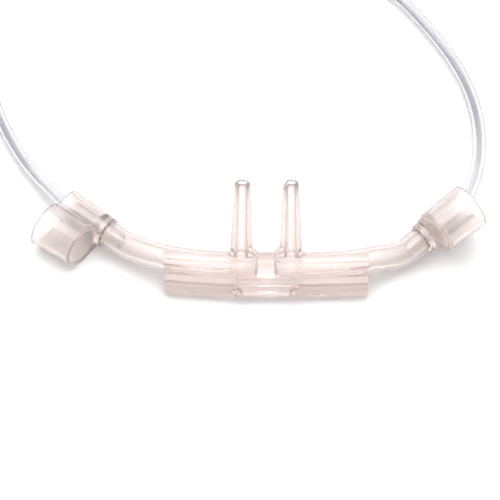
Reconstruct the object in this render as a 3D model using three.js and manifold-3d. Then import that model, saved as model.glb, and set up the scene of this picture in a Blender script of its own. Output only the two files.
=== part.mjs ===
// Nasal oxygen cannula: a soft moulded facepiece with two hollow prongs, a connector on each arm, and two
// clear ear tubes that run to a Y-piece. Millimetres, +Z up. The cannula lies on a level floor, the prongs
// standing up and leaning back, the ear tubes running back over the floor.
import * as THREE from "three";
import { mergeVertices } from "three/addons/utils/BufferGeometryUtils.js";
import Module from "manifold-3d";

const wasm = await Module();
wasm.setup();

// Drawing point that becomes the part's origin: on the floor, under the middle of the facepiece and its
// connectors.
const ORIGIN = new THREE.Vector3(-1.94, 12.57, 0);
const GAP = 0.3; // clearance between pieces that touch

// Facepiece: the curved cross tube that also makes the two arms
const LEAN = THREE.MathUtils.degToRad(32); // how far the prongs lean back from upright
const ARM_DIAMETER = 7.0;
const ARM_BORE = 4.4;
const BORE_WALL_HOLD = 0.2; // how far the wall across the bore runs into the tube's own wall
const MIDDLE = [0, 4.1, 8]; // the cross tube's axis between the prongs
// The cross tube's axis out to either side. Beyond these points an arm runs straight onto its connector.
const LEFT_ARM = [
  [-28, 7.5, 7.5],
  [-19, 5.1, 8],
];
const RIGHT_ARM = [
  [19, 4.5, 8],
  [28.5, 6.6, 7.3],
];

// Prongs
const PRONG_SPACING = 13.0;
const PRONG_TIP_HEIGHT = 23.6; // above the cross tube's axis
const PRONG_TIP_DIAMETER = 4.1;
const PRONG_BASE_DIAMETER = 5.8;
const PRONG_BORE = 2.5;
const PRONG_TIP_ROUND = 0.5;
const PRONG_FLARE = 1.6; // radius of the flare where a prong grows out of the tube
const PRONG_FLARE_SUNK = 0.7; // how far below the tube's skin the flare starts
const SADDLE_BOTTOM = 2.4; // lowest point of the round saddle between the prongs
const SADDLE_HALF_DEPTH = 2.2;

// Lip pads, centre recess, pockets, strut and lower bar, measured from the cross tube's axis
const PAD_INNER_X = 7.6;
const PAD_OUTER_X = 26.6;
const LEFT_PAD_SWEEP = 1.6; // how far back a pad's outer end lies
const RIGHT_PAD_SWEEP = 0.6;
const PAD_TOP = 3.3;
const PAD_BOTTOM = -8.3;
const PAD_FRONT = -3.9;
const PAD_BACK = 2.4;
const PAD_RIB_STEP = 0.6; // how far each rib on a pad's front stands back from the one above
const PAD_LOWER_EDGE = 0.8; // chamfers along the pads' lower and back edges
const PAD_BACK_EDGE = 1.4;
const CENTRE_FRONT = -2.6;
const RECESS_TOP = 1.6;
const RECESS_BOTTOM = -4.4;
const POCKET_WIDTH = 5.6;
const POCKET_HEIGHT = 2.4;
const POCKET_DEPTH = 1.2;
const POCKET_MIDDLE = -1.9; // height of the pockets' middle
const STRUT_WIDTH = 3.1;
const BAR_FRONT = -3.3;
const KNOB_DIAMETER = 2.8;
const BAR_RISE = 0.7; // how far the bar and the knobs stop short of the pads' lower edge

// Connector: a hollow skirt of keyhole section with a sleeve for the ear tube and a spigot for the arm
const CONNECTOR_LENGTH = 12.2;
const CONNECTOR_WALL = 1.3;
const CONNECTOR_TAPER = 0.06; // the arm end is this share narrower than the open end
const HUB_LOBE_RADIUS = 4.6;
const GRIP_LOBE_RADIUS = 6.3;
const GRIP_LOBE_AT = [8.2, 1.4];
const WAIST_FILLET = 1.6;
const NECK_LENGTH = 1.8; // the round collar that an arm's end butts on
const NECK_DIAMETER = 8.2;
const SPIGOT_LENGTH = 5.0;
const SPIGOT_BORE = 2.2;
const SLEEVE_LENGTH = 9.6;
const SLEEVE_WALL = 0.6;
const SOCKET_FLOOR = 2.4; // thickness left between the ear tube's end and the arm end
const CONNECTOR_PLACES = {
  left: { at: [-42.6, 17.1, 5.7], along: [-0.775, 0.634, -0.014], grip: [-0.63, -0.773, -0.07] },
  right: { at: [41.9, 15.2, 6.0], along: [0.765, 0.625, 0.157], grip: [0.13, -0.427, 0.895] },
};

// Ear tubes
const EAR_TUBE_DIAMETER = 3.4;
// Each route starts in its connector's sleeve. These are its points from there on.
const LEFT_ROUTE = [
  [-53, 26.3, 5.3],
  [-56, 30.2, 4.6],
  [-59.5, 35.3, 3.2],
  [-62.4, 39.9, 2.4],
  [-65.2, 45, 1.9],
  [-67.6, 50, 1.75],
  [-69.8, 55.5, 1.75],
  [-71.7, 61.5, 1.75],
  [-73.2, 68, 1.75],
  [-74, 75, 1.75],
];
const LEFT_TAIL = [
  [-76.6, 84, 4.6],
  [-75.8, 91, 4.3],
  [-73.2, 98, 3],
  [-68, 103.6, 1.9],
  [-61, 105.4, 1.75],
  [-56.4, 107.8, 2.3],
];
const RIGHT_ROUTE = [
  [51.8, 24.8, 7.7],
  [53.6, 29.9, 7.1],
  [54.9, 35.6, 5.9],
  [55.7, 41.6, 4.4],
  [55.9, 48.1, 3.1],
  [55.5, 54.7, 2.1],
  [54.2, 61.6, 1.75],
  [52, 68.2, 1.75],
  [49, 74.7, 1.75],
  [45.2, 81.1, 1.75],
  [41, 87.2, 1.75],
  [37, 92.4, 1.75],
  [32.6, 96.8, 1.75],
  [26.6, 99.4, 1.75],
  [19.4, 100.2, 1.75],
  [11.5, 100, 1.75],
];
const RIGHT_TAIL = [
  [1, 101.7, 4.6],
  [-8, 101.9, 4.5],
  [-17, 102.3, 3.1],
  [-26, 103, 1.9],
  [-35, 103.4, 1.8],
  [-43, 104.9, 1.8],
  [-48, 108, 2.3],
];
// Each coil is three turns: two side by side on the floor and one in the groove on top of them.
const COIL_SLACK = 0.1; // room over the top turn
const COIL_SHOULDER = 0.9; // how far the ring's top stands in from its sides
const LEFT_COIL = { centre: [-95.5, 80], radius: 19.2 };
const RIGHT_COIL = { centre: [4, 119], radius: 17.3 };

// Y-piece
const Y_LENGTH = 26;
const Y_SOCKET_SPACING = 5.0;
const Y_SOCKET_DEPTH = 7;
const Y_WIDTH = 11.2;
const Y_THICKNESS = 6.4;
const Y_INLET_DIAMETER = 7.4;
const Y_INLET_BORE = 5.0;
const Y_INLET_DEPTH = 9;
const Y_SHOULDER = 3; // length over which the flat end draws in
const Y_THROAT = 1.5; // how far before the inlet's floor the body is round
const Y_DUCT_DIAMETER = 2.2;
const Y_DUCT_MEETING = 0.3; // share of their spacing that the two ducts still have at the inlet
const Y_PLACE = [-52, 113.5, 3.7];

const PINK = { color: 0xe3c4bb, roughness: 0.25, metalness: 0 };
const CLEAR = { color: 0xe4e4ea, roughness: 0.15, metalness: 0 };

// Solids and meshes

// A closed geometry as a manifold-3d solid.
function solid(geometry) {
  const g = geometry.index ? geometry.toNonIndexed() : geometry.clone();
  g.deleteAttribute("normal");
  g.deleteAttribute("uv");
  const merged = mergeVertices(g, 1e-4);
  return new wasm.Manifold(
    new wasm.Mesh({
      numProp: 3,
      vertProperties: merged.attributes.position.array,
      triVerts: new Uint32Array(merged.index.array),
    }),
  );
}

// A manifold-3d solid as a named mesh.
function mesh(name, body, look) {
  const m = body.getMesh();
  const geometry = new THREE.BufferGeometry()
    .setAttribute("position", new THREE.BufferAttribute(m.vertProperties, 3))
    .setIndex(new THREE.BufferAttribute(m.triVerts, 1));
  geometry.computeVertexNormals();
  const made = new THREE.Mesh(geometry, new THREE.MeshStandardMaterial(look));
  made.name = name;
  return made;
}

function vector(p) {
  return new THREE.Vector3(...p);
}

function curve(points) {
  return new THREE.CatmullRomCurve3(points.map(vector), false, "centripetal");
}

function circle(radius, sides) {
  const points = [];
  for (let i = 0; i < sides; i++) {
    const a = (2 * Math.PI * i) / sides;
    points.push(new THREE.Vector2(radius * Math.cos(a), radius * Math.sin(a)));
  }
  return new THREE.Shape(points);
}

// A solid tube along a curve.
function rod(path, radius, sides, steps) {
  return new THREE.ExtrudeGeometry(circle(radius, sides), {
    extrudePath: path,
    steps,
    bevelEnabled: false,
  });
}

// A closed skin over rings of points. The first ring's outline, as flat points, gives the two end caps.
function loft(rings, outline) {
  const n = outline.length;
  const positions = rings.flat().flatMap((p) => [p.x, p.y, p.z]);
  const index = [];
  for (let r = 0; r + 1 < rings.length; r++)
    for (let i = 0; i < n; i++) {
      const a = r * n + i;
      const b = r * n + ((i + 1) % n);
      index.push(a, b, b + n, a, b + n, a + n);
    }
  const last = (rings.length - 1) * n;
  for (const [a, b, c] of THREE.ShapeUtils.triangulateShape(outline, [])) {
    index.push(c, b, a, last + a, last + b, last + c);
  }
  return new THREE.BufferGeometry()
    .setAttribute("position", new THREE.Float32BufferAttribute(positions, 3))
    .setIndex(index);
}

// A block with its low and high corners.
function block(low, high) {
  const size = high.map((h, i) => h - low[i]);
  const middle = high.map((h, i) => (h + low[i]) / 2);
  return new THREE.BoxGeometry(...size).translate(...middle);
}

// Facepiece

// From the facepiece's own axes to the drawing. They start on the cross tube's axis: x across, y back, z
// along the prongs.
const FACE_FRAME = new THREE.Matrix4()
  .makeTranslation(...MIDDLE)
  .multiply(new THREE.Matrix4().makeRotationX(-LEAN));

function inFace(geometry) {
  return solid(geometry.applyMatrix4(FACE_FRAME));
}

// One lip pad: its ribbed section runs from one x to the other on a gentle sweep of its own.
function lipPad(fromX, toX, sweep) {
  const step = PAD_RIB_STEP;
  const third = (PAD_TOP - PAD_BOTTOM) / 3;
  const outline = [
    [PAD_BACK, PAD_BOTTOM + PAD_LOWER_EDGE],
    [PAD_BACK, PAD_TOP - PAD_BACK_EDGE],
    [PAD_BACK - PAD_BACK_EDGE, PAD_TOP],
    [PAD_FRONT + 1.6, PAD_TOP],
    [PAD_FRONT + 0.4, PAD_TOP - 0.9],
    [PAD_FRONT, PAD_TOP - 2.1],
    [PAD_FRONT + 0.2, PAD_TOP - third + 0.2],
    [PAD_FRONT + step + 0.1, PAD_TOP - third],
    [PAD_FRONT + step, PAD_TOP - 1.6 * third],
    [PAD_FRONT + 1.5 * step, PAD_BOTTOM + third],
    [PAD_FRONT + 2.2 * step, PAD_BOTTOM + third - 0.4],
    [PAD_FRONT + 2.2 * step, PAD_BOTTOM + PAD_LOWER_EDGE],
    [PAD_FRONT + 2.2 * step + PAD_LOWER_EDGE, PAD_BOTTOM],
    [PAD_BACK - PAD_LOWER_EDGE, PAD_BOTTOM],
  ].map((p) => new THREE.Vector2(...p));
  const rings = [];
  const stations = 6;
  for (let i = 0; i <= stations; i++) {
    const x = fromX + ((toX - fromX) * i) / stations;
    const back = sweep * (x / PAD_OUTER_X) ** 2; // level with the floor, which the lower edge rests on
    rings.push(
      outline.map((p) => new THREE.Vector3(x, back * Math.cos(LEAN) + p.x, back * Math.sin(LEAN) + p.y)),
    );
  }
  return inFace(loft(rings, outline));
}

function prong(side) {
  const tip = PRONG_TIP_DIAMETER / 2;
  const base = PRONG_BASE_DIAMETER / 2;
  const root = ARM_DIAMETER / 2;
  const profile = [new THREE.Vector2(0, 0), new THREE.Vector2(base + PRONG_FLARE, 0)];
  for (let i = 0; i <= 4; i++) {
    const a = (Math.PI / 2) * (i / 4);
    profile.push(
      new THREE.Vector2(
        base + PRONG_FLARE * (1 - Math.sin(a)),
        root - PRONG_FLARE_SUNK + PRONG_FLARE * (1 - Math.cos(a)),
      ),
    );
  }
  profile.push(new THREE.Vector2(tip, PRONG_TIP_HEIGHT - PRONG_TIP_ROUND));
  profile.push(new THREE.Vector2(tip - 0.3 * PRONG_TIP_ROUND, PRONG_TIP_HEIGHT - 0.3 * PRONG_TIP_ROUND));
  profile.push(new THREE.Vector2(tip - PRONG_TIP_ROUND, PRONG_TIP_HEIGHT));
  profile.push(new THREE.Vector2(0, PRONG_TIP_HEIGHT));
  return new THREE.LatheGeometry(profile, 24)
    .rotateX(Math.PI / 2)
    .translate((side * PRONG_SPACING) / 2, 0, 0);
}

function prongBore(side) {
  return new THREE.CylinderGeometry(PRONG_BORE / 2, PRONG_BORE / 2, PRONG_TIP_HEIGHT + 1, 16)
    .rotateX(Math.PI / 2)
    .translate((side * PRONG_SPACING) / 2, 0, (PRONG_TIP_HEIGHT + 1) / 2);
}

// Where an arm's axis lies on its connector, from the arm's end inwards.
function armEnd(place) {
  const out = vector(place.along).normalize();
  return [GAP, SPIGOT_LENGTH / 2, SPIGOT_LENGTH + 1].map((d) =>
    vector(place.at).addScaledVector(out, -NECK_LENGTH - d).toArray(),
  );
}

function facepiece() {
  const path = curve([
    ...armEnd(CONNECTOR_PLACES.left),
    ...LEFT_ARM,
    MIDDLE,
    ...RIGHT_ARM,
    ...armEnd(CONNECTOR_PLACES.right).reverse(),
  ]);
  const pocketX = STRUT_WIDTH / 2 + POCKET_WIDTH / 2;
  const centreReach = PAD_INNER_X + 1; // the centre runs this far out, into the pads
  const barBottom = PAD_BOTTOM + BAR_RISE;
  const knobRadius = KNOB_DIAMETER / 2;
  const pocketLow = POCKET_MIDDLE - POCKET_HEIGHT / 2;
  const pocketHigh = POCKET_MIDDLE + POCKET_HEIGHT / 2;
  let body = solid(rod(path, ARM_DIAMETER / 2, 20, 36))
    .add(lipPad(-PAD_OUTER_X, -PAD_INNER_X, LEFT_PAD_SWEEP))
    .add(lipPad(PAD_INNER_X, PAD_OUTER_X, RIGHT_PAD_SWEEP))
    .add(inFace(block([-centreReach, CENTRE_FRONT, barBottom], [centreReach, PAD_BACK, PAD_TOP - 0.6])))
    .subtract(
      inFace(block([-PAD_INNER_X, PAD_FRONT - 2, RECESS_BOTTOM], [PAD_INNER_X, CENTRE_FRONT, RECESS_TOP])),
    )
    .add(inFace(block([-centreReach, BAR_FRONT, barBottom], [centreReach, 0, RECESS_BOTTOM])));
  for (const side of [-1, 1]) {
    const knob = new THREE.CylinderGeometry(knobRadius, knobRadius, PAD_BACK - PAD_FRONT, 16);
    body = body
      .add(inFace(knob.translate(side * PAD_INNER_X, (PAD_FRONT + PAD_BACK) / 2, barBottom + knobRadius)))
      .subtract(
        inFace(
          block(
            [side * pocketX - POCKET_WIDTH / 2, CENTRE_FRONT - 1, pocketLow],
            [side * pocketX + POCKET_WIDTH / 2, CENTRE_FRONT + POCKET_DEPTH, pocketHigh],
          ),
        ),
      )
      .add(inFace(prong(side)));
  }
  const saddle = (PRONG_SPACING - PRONG_BASE_DIAMETER) / 2;
  const valley = new THREE.CylinderGeometry(saddle, saddle, 4 * ARM_DIAMETER, 32);
  body = body
    .add(
      inFace(
        block(
          [-PRONG_SPACING / 2, -SADDLE_HALF_DEPTH, 0],
          [PRONG_SPACING / 2, SADDLE_HALF_DEPTH, SADDLE_BOTTOM + saddle - 0.1],
        ),
      ),
    )
    .subtract(inFace(valley.translate(0, 0, SADDLE_BOTTOM + saddle)));
  body = body.subtract(solid(rod(path, ARM_BORE / 2, 16, 36)));
  // The wall between the two prongs parts the bore, so that each prong is fed from its own side.
  const reach = ARM_BORE / 2 + BORE_WALL_HOLD;
  body = body.add(inFace(block([-STRUT_WIDTH / 2, -reach, -reach], [STRUT_WIDTH / 2, reach, reach])));
  for (const side of [-1, 1]) body = body.subtract(inFace(prongBore(side)));
  return mesh("facepiece", body, PINK);
}

// Connectors

// The keyhole outline: a hub lobe round the origin and a larger grip lobe beside it, with a waist between
// them on one side and a straight line on the other.
function keyhole(hubRadius, gripRadius, fillet) {
  const grip = new THREE.Vector2(...GRIP_LOBE_AT);
  const apart = grip.length();
  const e = grip.clone().divideScalar(apart);
  const m = new THREE.Vector2(-e.y, e.x);
  const lean = (hubRadius - gripRadius) / apart;
  const n = e.clone().multiplyScalar(lean).addScaledVector(m, -Math.sqrt(1 - lean * lean));
  const a = ((hubRadius + fillet) ** 2 - (gripRadius + fillet) ** 2 + apart * apart) / (2 * apart);
  const h = Math.sqrt((hubRadius + fillet) ** 2 - a * a);
  const waist = e.clone().multiplyScalar(a).addScaledVector(m, h);
  const flat = n.angle();
  const fromHub = waist.angle();
  const fromGrip = waist.clone().sub(grip).angle();
  const shape = new THREE.Shape();
  shape.absarc(grip.x, grip.y, gripRadius, flat - 2 * Math.PI, fromGrip, false);
  shape.absarc(waist.x, waist.y, fillet, fromGrip - Math.PI, fromHub - Math.PI, true);
  shape.absarc(0, 0, hubRadius, fromHub, flat, false);
  const points = shape.getPoints(14);
  return points.filter((p, i) => p.distanceTo(points[(i + 1) % points.length]) > 0.02);
}

// A prism over an outline from z = from to z = to, each end scaled about the hub.
function prism(outline, from, to, fromScale, toScale) {
  const ring = (z, scale) => outline.map((p) => new THREE.Vector3(p.x * scale, p.y * scale, z));
  return loft([ring(from, fromScale), ring(to, toScale)], outline);
}

function pin(radius, from, to, sides = 20) {
  return new THREE.CylinderGeometry(radius, radius, to - from, sides)
    .rotateX(Math.PI / 2)
    .translate(0, 0, (from + to) / 2);
}

function connector(name, place) {
  const tight = 1 - CONNECTOR_TAPER;
  const outer = keyhole(HUB_LOBE_RADIUS, GRIP_LOBE_RADIUS, WAIST_FILLET);
  const wall = CONNECTOR_WALL;
  const inner = keyhole(HUB_LOBE_RADIUS - wall, GRIP_LOBE_RADIUS - wall, WAIST_FILLET + wall);
  const socket = EAR_TUBE_DIAMETER / 2 + GAP;
  const body = solid(prism(outer, 0, CONNECTOR_LENGTH, tight, 1))
    .subtract(solid(prism(inner, CONNECTOR_WALL, CONNECTOR_LENGTH + 1, tight, 1.005)))
    .add(solid(pin(socket + SLEEVE_WALL, CONNECTOR_WALL / 2, SLEEVE_LENGTH)))
    .add(solid(pin(NECK_DIAMETER / 2, -NECK_LENGTH, CONNECTOR_WALL / 2)))
    .add(solid(pin(ARM_BORE / 2 - GAP, -NECK_LENGTH - SPIGOT_LENGTH, 0)))
    .subtract(solid(pin(SPIGOT_BORE / 2, -NECK_LENGTH - SPIGOT_LENGTH - 1, SOCKET_FLOOR + 1, 12)))
    .subtract(solid(pin(socket, SOCKET_FLOOR, SLEEVE_LENGTH + 1)));
  const made = mesh(name, body, PINK);
  const z = vector(place.along).normalize();
  const y = new THREE.Vector3().crossVectors(z, vector(place.grip)).normalize();
  const x = new THREE.Vector3().crossVectors(y, z);
  made.quaternion.setFromRotationMatrix(new THREE.Matrix4().makeBasis(x, y, z));
  made.position.set(...place.at);
  return made;
}

// Ear tubes

// A coil's three turns fit this ring.
function coilRing(coil, grow = 0) {
  const d = EAR_TUBE_DIAMETER;
  const half = d + grow;
  const top = d + (d * Math.sqrt(3)) / 2 + COIL_SLACK + grow;
  const profile = [
    [coil.radius - half, -grow],
    [coil.radius + half, -grow],
    [coil.radius + half, d],
    [coil.radius + half - COIL_SHOULDER, top],
    [coil.radius - half + COIL_SHOULDER, top],
    [coil.radius - half, d],
    [coil.radius - half, -grow],
  ].map((p) => new THREE.Vector2(...p));
  return new THREE.LatheGeometry(profile, 32).rotateX(Math.PI / 2).translate(...coil.centre, 0);
}

// An ear tube's axis inside its connector's sleeve.
function seated(place) {
  const out = vector(place.along).normalize();
  const start = SOCKET_FLOOR + GAP;
  return [start, (start + SLEEVE_LENGTH) / 2, SLEEVE_LENGTH].map((d) =>
    vector(place.at).addScaledVector(out, d).toArray(),
  );
}

// An ear tube's axis inside its socket in the Y-piece.
function socketed(side) {
  const x = Y_PLACE[0] + (side * Y_SOCKET_SPACING) / 2;
  return [-0.5, Y_SOCKET_DEPTH / 2, Y_SOCKET_DEPTH - GAP].map((d) => [x, Y_PLACE[1] + d, Y_PLACE[2]]);
}

function earTube(name, points, coil, steps) {
  const path = curve(points);
  const body = solid(rod(path, EAR_TUBE_DIAMETER / 2, 8, steps)).subtract(solid(coilRing(coil, GAP)));
  return mesh(name, body, CLEAR);
}

// Y-piece

function yPiece() {
  const flatEnd = [];
  const roundEnd = [];
  const waist = [];
  const sides = 24;
  for (let i = 0; i < sides; i++) {
    const a = (2 * Math.PI * i) / sides;
    const [c, s] = [Math.cos(a), Math.sin(a)];
    const half = (Y_WIDTH - Y_THICKNESS) / 2;
    const shift = Math.abs(c) < 1e-9 ? 0 : half * Math.sign(c);
    flatEnd.push(new THREE.Vector2((Y_THICKNESS / 2) * c + shift, (Y_THICKNESS / 2) * s));
    roundEnd.push(new THREE.Vector2((Y_INLET_DIAMETER / 2) * c, (Y_INLET_DIAMETER / 2) * s));
    waist.push(flatEnd[i].clone().lerp(roundEnd[i], 0.35));
  }
  const ring = (outline, z) => outline.map((p) => new THREE.Vector3(p.x, p.y, z));
  const throat = Y_LENGTH - Y_INLET_DEPTH - Y_THROAT;
  const outer = loft(
    [
      ring(flatEnd, 0),
      ring(flatEnd, Y_SOCKET_DEPTH),
      ring(waist, Y_SOCKET_DEPTH + Y_SHOULDER),
      ring(roundEnd, throat),
      ring(roundEnd, Y_LENGTH),
    ],
    flatEnd,
  );
  let body = solid(outer).subtract(solid(pin(Y_INLET_BORE / 2, Y_LENGTH - Y_INLET_DEPTH, Y_LENGTH + 1)));
  for (const side of [-1, 1]) {
    const x = (side * Y_SOCKET_SPACING) / 2;
    const socket = EAR_TUBE_DIAMETER / 2 + GAP;
    const duct = new THREE.LineCurve3(
      new THREE.Vector3(x, 0, Y_SOCKET_DEPTH - 1),
      new THREE.Vector3(x * Y_DUCT_MEETING, 0, Y_LENGTH - Y_INLET_DEPTH + 1),
    );
    body = body
      .subtract(solid(pin(socket, -1, Y_SOCKET_DEPTH, 16).translate(x, 0, 0)))
      .subtract(solid(rod(duct, Y_DUCT_DIAMETER / 2, 12, 1)));
  }
  const made = mesh("y_piece", body, CLEAR);
  made.rotation.x = -Math.PI / 2;
  made.position.set(...Y_PLACE);
  return made;
}

const cannula = new THREE.Group();
cannula.add(
  facepiece(),
  connector("left_connector", CONNECTOR_PLACES.left),
  connector("right_connector", CONNECTOR_PLACES.right),
  earTube("left_ear_tube", [...seated(CONNECTOR_PLACES.left), ...LEFT_ROUTE], LEFT_COIL, 14),
  mesh("left_ear_tube_coil", solid(coilRing(LEFT_COIL)), CLEAR),
  earTube("left_ear_tube_tail", [...LEFT_TAIL, ...socketed(-1)], LEFT_COIL, 12),
  earTube("right_ear_tube", [...seated(CONNECTOR_PLACES.right), ...RIGHT_ROUTE], RIGHT_COIL, 22),
  mesh("right_ear_tube_coil", solid(coilRing(RIGHT_COIL)), CLEAR),
  earTube("right_ear_tube_tail", [...RIGHT_TAIL, ...socketed(1)], RIGHT_COIL, 14),
  yPiece(),
);
cannula.position.copy(ORIGIN).negate();

export default cannula;
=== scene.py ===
"""The looks of a nasal oxygen cannula: a soft pink facepiece with two hollow prongs, a moulded connector on
each arm, and clear ear tubes wound in coils behind it and joined at a Y-piece.

The shapes are drawn in millimetres, X across, Y back and Z up from the floor, and are turned to metres in the
part's own frame as each piece is finished.
"""
import sys
import logging
import math
from collections.abc import Sequence
from dataclasses import dataclass
from enum import Enum

import bmesh
import bpy
from mathutils import Matrix, Vector


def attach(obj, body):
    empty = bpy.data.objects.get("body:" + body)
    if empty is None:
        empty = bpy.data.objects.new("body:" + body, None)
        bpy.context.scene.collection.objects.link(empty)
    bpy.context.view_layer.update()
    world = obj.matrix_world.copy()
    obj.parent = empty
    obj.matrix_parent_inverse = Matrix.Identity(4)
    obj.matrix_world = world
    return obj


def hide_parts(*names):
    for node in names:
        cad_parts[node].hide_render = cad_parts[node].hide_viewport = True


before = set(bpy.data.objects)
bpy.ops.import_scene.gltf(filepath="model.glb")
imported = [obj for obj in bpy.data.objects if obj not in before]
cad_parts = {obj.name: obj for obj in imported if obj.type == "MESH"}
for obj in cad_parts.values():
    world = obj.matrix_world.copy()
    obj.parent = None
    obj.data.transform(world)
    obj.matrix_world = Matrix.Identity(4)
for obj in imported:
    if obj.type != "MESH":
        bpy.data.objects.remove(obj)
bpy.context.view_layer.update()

LOG = logging.getLogger("cannula")

MM = 0.001
# The drawing's point that is the origin of the part's own frame
ORIGIN = Vector((-1.94, 12.57, 0.0))
TO_ROW = Matrix.Scale(MM, 4) @ Matrix.Translation(-ORIGIN)
BODY = "root"

Point = tuple[float, float, float]
Flat = tuple[float, float]


class Side(Enum):
    """The picture's left and right. The value is the sign of X."""

    LEFT = -1
    RIGHT = 1

    @property
    def word(self) -> str:
        """The side's name, as the nodes have it."""
        return self.name.lower()


# Paths and outlines


def even_steps(line: Sequence[Vector], step: float) -> list[Vector]:
    """Spreads points evenly along a line.

    Args:
        line: the line's own points, close together.
        step: the distance wanted between two points, in mm.

    Returns:
        The new points, the first and the last of them those of the line.
    """
    reach = [0.0]
    for a, b in zip(line, line[1:]):
        reach.append(reach[-1] + (b - a).length)
    count = max(1, round(reach[-1] / step))
    points, k = [], 0
    for i in range(count + 1):
        want = reach[-1] * i / count
        while k < len(line) - 2 and reach[k + 1] < want:
            k += 1
        share = (want - reach[k]) / max(reach[k + 1] - reach[k], 1e-9)
        points.append(line[k].lerp(line[k + 1], min(share, 1.0)))
    return points


def smooth_path(points: Sequence[Point | Vector], step: float) -> list[Vector]:
    """Runs a centripetal Catmull-Rom curve through the points.

    Args:
        points: what the curve passes through, in order.
        step: the distance between two points of the result, in mm.

    Returns:
        Evenly spread points on the curve.
    """
    pieces_each = 20
    knots = [Vector(p) for p in points]
    knots = [2 * knots[0] - knots[1], *knots, 2 * knots[-1] - knots[-2]]
    fine = []
    for a, b, c, d in zip(knots, knots[1:], knots[2:], knots[3:]):
        before, here, after = ((q - p).length ** 0.5 for p, q in ((a, b), (b, c), (c, d)))
        leave = ((b - a) / before - (c - a) / (before + here) + (c - b) / here) * here
        arrive = ((c - b) / here - (d - b) / (here + after) + (d - c) / after) * here
        for i in range(pieces_each):
            t = i / pieces_each
            bend = (-3 * b + 3 * c - 2 * leave - arrive) * t**2 + (2 * b - 2 * c + leave + arrive) * t**3
            fine.append(b + leave * t + bend)
    fine.append(knots[-2])
    return even_steps(fine, step)


def frames_along(path: Sequence[Vector]) -> list[Matrix]:
    """Gives a frame at each point of a path, with local Z along it and as little twist as there can be.

    Args:
        path: the points.

    Returns:
        One matrix for each point.
    """
    frames = []
    side = None
    for i, point in enumerate(path):
        along = (path[min(i + 1, len(path) - 1)] - path[max(i - 1, 0)]).normalized()
        side = along.orthogonal() if side is None else side
        side = (side - along * side.dot(along)).normalized()
        turn = Matrix((side, along.cross(side), along)).transposed().to_4x4()
        frames.append(Matrix.Translation(point) @ turn)
    return frames


def ring(radius: float, sides: int) -> list[Flat]:
    """A circle's outline round the origin."""
    angles = (2 * math.pi * i / sides for i in range(sides))
    return [(radius * math.cos(a), radius * math.sin(a)) for a in angles]


# Making solids with bmesh, in millimetres


def loft(outlines: Sequence[Sequence[Flat]], frames: Sequence[Matrix]) -> bmesh.types.BMesh:
    """Extrudes a flat outline from frame to frame, closed at both ends.

    Args:
        outlines: one outline for a solid, or an outer and an inner one for a wall round a hollow.
        frames: where the outline goes, local Z along the way.

    Returns:
        The closed shape.
    """
    bm = bmesh.new()
    for outline in outlines:
        verts = [bm.verts.new(frames[0] @ Vector((*p, 0.0))) for p in outline]
        for a, b in zip(verts, verts[1:] + verts[:1]):
            bm.edges.new((a, b))
    close_end(bm, list(bm.edges), len(outlines))
    edges = [e for e in bm.edges if e.is_boundary]
    for last, here in zip(frames, frames[1:]):
        made = bmesh.ops.extrude_edge_only(bm, edges=edges)["geom"]
        edges = [g for g in made if isinstance(g, bmesh.types.BMEdge) and g.is_boundary]
        verts = [g for g in made if isinstance(g, bmesh.types.BMVert)]
        bmesh.ops.transform(bm, matrix=here @ last.inverted(), verts=verts)
    close_end(bm, edges, len(outlines))
    bmesh.ops.recalc_face_normals(bm, faces=bm.faces)
    return bm


def close_end(bm: bmesh.types.BMesh, edges: list[bmesh.types.BMEdge], loops: int) -> None:
    """Closes an end: a face over one loop, or a rim between two.

    Args:
        bm: the shape.
        edges: the edges of the end's loops.
        loops: how many loops there are.
    """
    if loops == 1:
        bmesh.ops.edgeloop_fill(bm, edges=edges)
    else:
        bmesh.ops.bridge_loops(bm, edges=edges)


def turned(profile: Sequence[Flat], steps: int) -> bmesh.types.BMesh:
    """Spins a profile of (radius, height) points, from axis to axis, round Z.

    Args:
        profile: the points, the first and the last on the axis.
        steps: how many steps a full turn has.

    Returns:
        The closed shape.
    """
    bm = bmesh.new()
    verts = [bm.verts.new((r, 0.0, z)) for r, z in profile]
    for a, b in zip(verts, verts[1:]):
        bm.edges.new((a, b))
    bmesh.ops.spin(
        bm, geom=list(bm.verts) + list(bm.edges), cent=(0, 0, 0), axis=(0, 0, 1), angle=2 * math.pi,
        steps=steps, use_merge=True,
    )
    bmesh.ops.remove_doubles(bm, verts=bm.verts, dist=1e-4)
    bmesh.ops.recalc_face_normals(bm, faces=bm.faces)
    return bm


def block(low: Point, high: Point, edge: float = 0.0) -> bmesh.types.BMesh:
    """Makes a block between two corners.

    Args:
        low: its lowest corner.
        high: its highest corner.
        edge: the radius that its edges are rounded to.

    Returns:
        The closed shape.
    """
    bm = bmesh.new()
    size = Vector(high) - Vector(low)
    middle = (Vector(high) + Vector(low)) / 2
    bmesh.ops.create_cube(bm, size=1.0, matrix=Matrix.Translation(middle) @ Matrix.Diagonal((*size, 1.0)))
    if edge:
        bmesh.ops.bevel(
            bm, geom=list(bm.edges), offset=edge, affect="EDGES", segments=3, profile=0.5, material=-1
        )
    return bm


def pin(radius: float, low: float, high: float, sides: int = 40) -> bmesh.types.BMesh:
    """A round pin on the local Z axis."""
    return loft([ring(radius, sides)], [Matrix.Translation((0, 0, z)) for z in (low, high)])


def placed(bm: bmesh.types.BMesh, matrix: Matrix) -> bmesh.types.BMesh:
    """Moves a shape.

    Args:
        bm: the shape.
        matrix: where it goes.

    Returns:
        The same shape, in its place.
    """
    bmesh.ops.transform(bm, matrix=matrix, verts=bm.verts)
    return bm


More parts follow.
